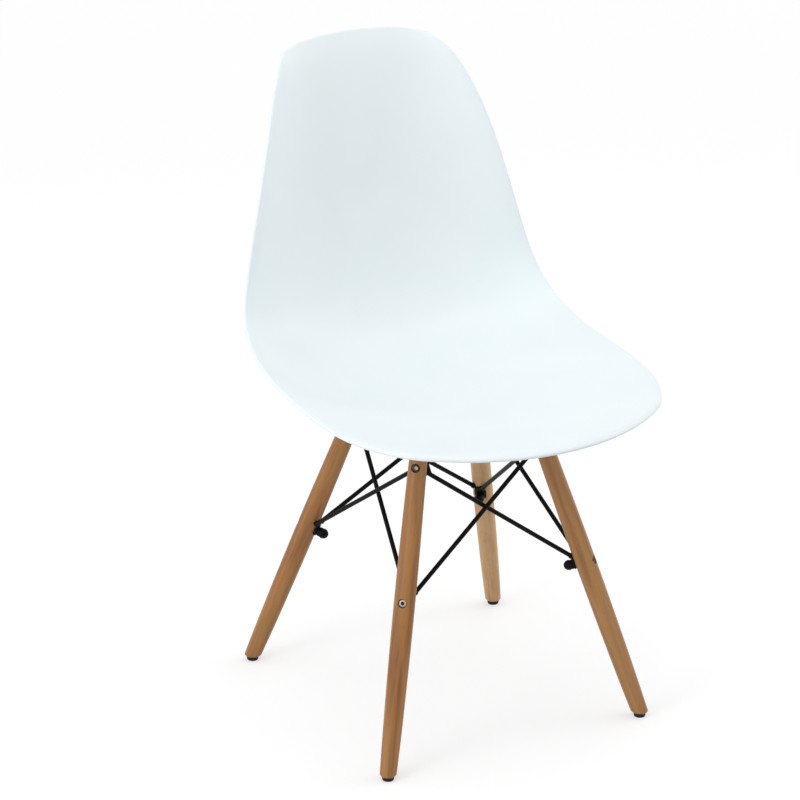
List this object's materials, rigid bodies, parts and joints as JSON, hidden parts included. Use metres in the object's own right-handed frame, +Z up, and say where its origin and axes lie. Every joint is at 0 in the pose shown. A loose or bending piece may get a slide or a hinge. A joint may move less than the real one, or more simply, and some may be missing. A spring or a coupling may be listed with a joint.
{
  "type": "moulded plastic shell chair",
  "caption": "Armless dining chair: a one-piece moulded plastic shell on splayed turned wooden legs, braced by crossed steel rods.",
  "frame": {"origin": "on the floor, at the middle of the chair's width and depth", "axes": "+Z up, the chair faces -Y, +X to the right of someone who faces the chair"},
  "size_m": [0.4604, 0.5629, 0.822],
  "materials": {
    "shell_plastic": "satin moulded",
    "beech_wood": "clear satin lacquer",
    "black_steel": "satin powder coat",
    "zinc_steel": "zinc plated",
    "black_rubber": "matt",
    "black_plastic": "matt"
  },
  "bodies": {
    "root": {"seat_shell": "shell_plastic", "shell_threaded_inserts": "zinc_steel", "mounting_tabs": "black_steel", "rubber_spacers": "black_rubber", "seat_screws": "zinc_steel", "seat_screw_washers": "zinc_steel", "leg_front_left": "beech_wood", "upper_saddle_front_left": "black_steel", "lower_saddle_front_left": "black_steel", "leg_front_right": "beech_wood", "upper_saddle_front_right": "black_steel", "lower_saddle_front_right": "black_steel", "leg_rear_right": "beech_wood", "upper_saddle_rear_right": "black_steel", "lower_saddle_rear_right": "black_steel", "leg_rear_left": "beech_wood", "upper_saddle_rear_left": "black_steel", "lower_saddle_rear_left": "black_steel", "glides": "black_plastic", "glide_nails": "zinc_steel", "upper_leg_bolts": "zinc_steel", "lower_leg_bolts": "zinc_steel", "upper_weld_nuts": "black_steel", "lower_cap_nuts": "black_steel", "brace_front_left_to_front_right": "black_steel", "brace_front_right_to_front_left": "black_steel", "brace_front_right_to_rear_right": "black_steel", "brace_rear_right_to_front_right": "black_steel", "brace_rear_right_to_rear_left": "black_steel", "brace_rear_left_to_rear_right": "black_steel", "brace_rear_left_to_front_left": "black_steel", "brace_front_left_to_rear_left": "black_steel", "top_bar_front": "black_steel", "top_bar_rear": "black_steel", "top_bar_left": "black_steel", "top_bar_right": "black_steel"}
  },
  "joints": []
}
